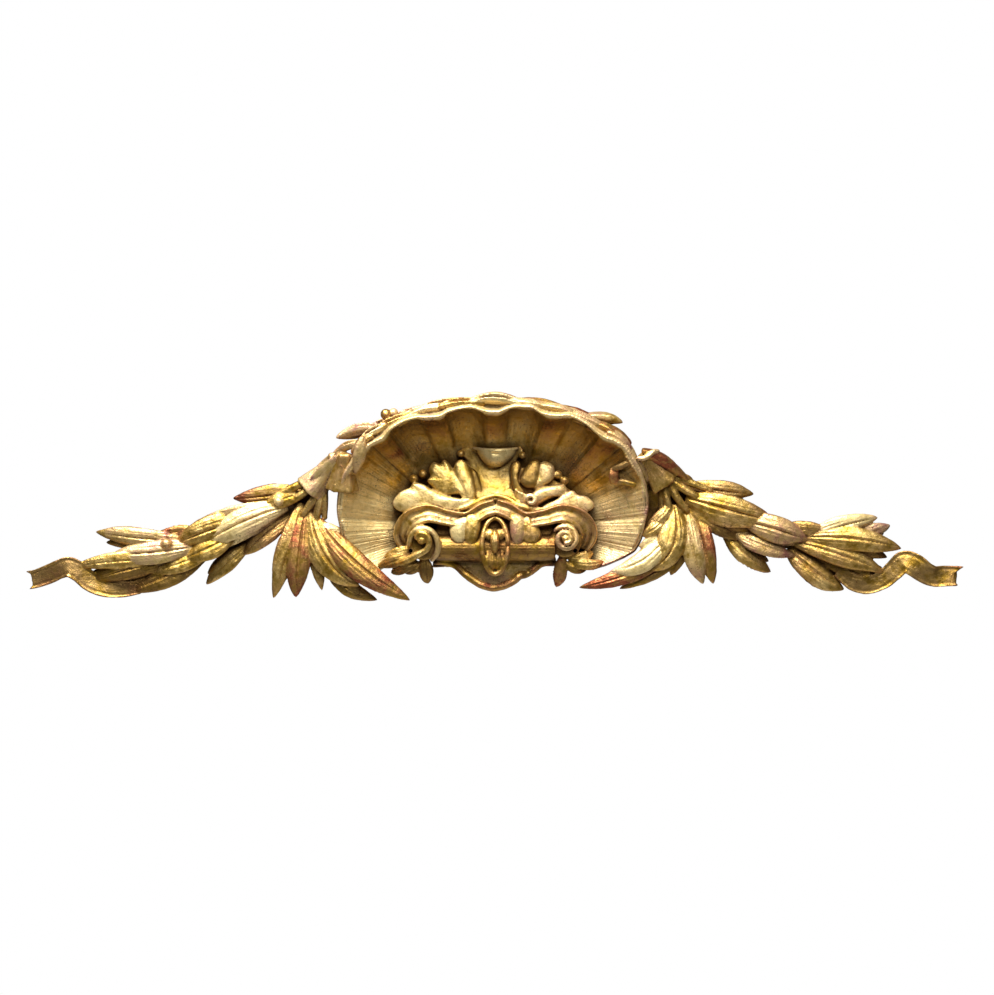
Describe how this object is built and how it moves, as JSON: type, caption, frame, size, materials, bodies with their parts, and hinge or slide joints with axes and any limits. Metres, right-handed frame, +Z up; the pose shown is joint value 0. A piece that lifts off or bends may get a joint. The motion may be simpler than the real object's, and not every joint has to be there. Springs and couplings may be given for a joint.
{
  "type": "carved shell cresting",
  "caption": "Gilded wood cresting carved as a hollow scallop shell over a scroll cartouche, with laurel boughs and ribbons at its sides, nailed up over a door or mirror.",
  "frame": {"origin": "on the flat back, midway between the two nail holes", "axes": "+X to the viewer's right along the cresting, +Y into the wall, +Z up"},
  "size_m": [1.132, 0.0955, 0.2443],
  "materials": {
    "giltwood": "water-gilded wood, the leaf rubbed through to red-brown bole on the high edges, with brown dirt in the hollows"
  },
  "bodies": {
    "root": {"crest": "giltwood"}
  },
  "joints": []
}
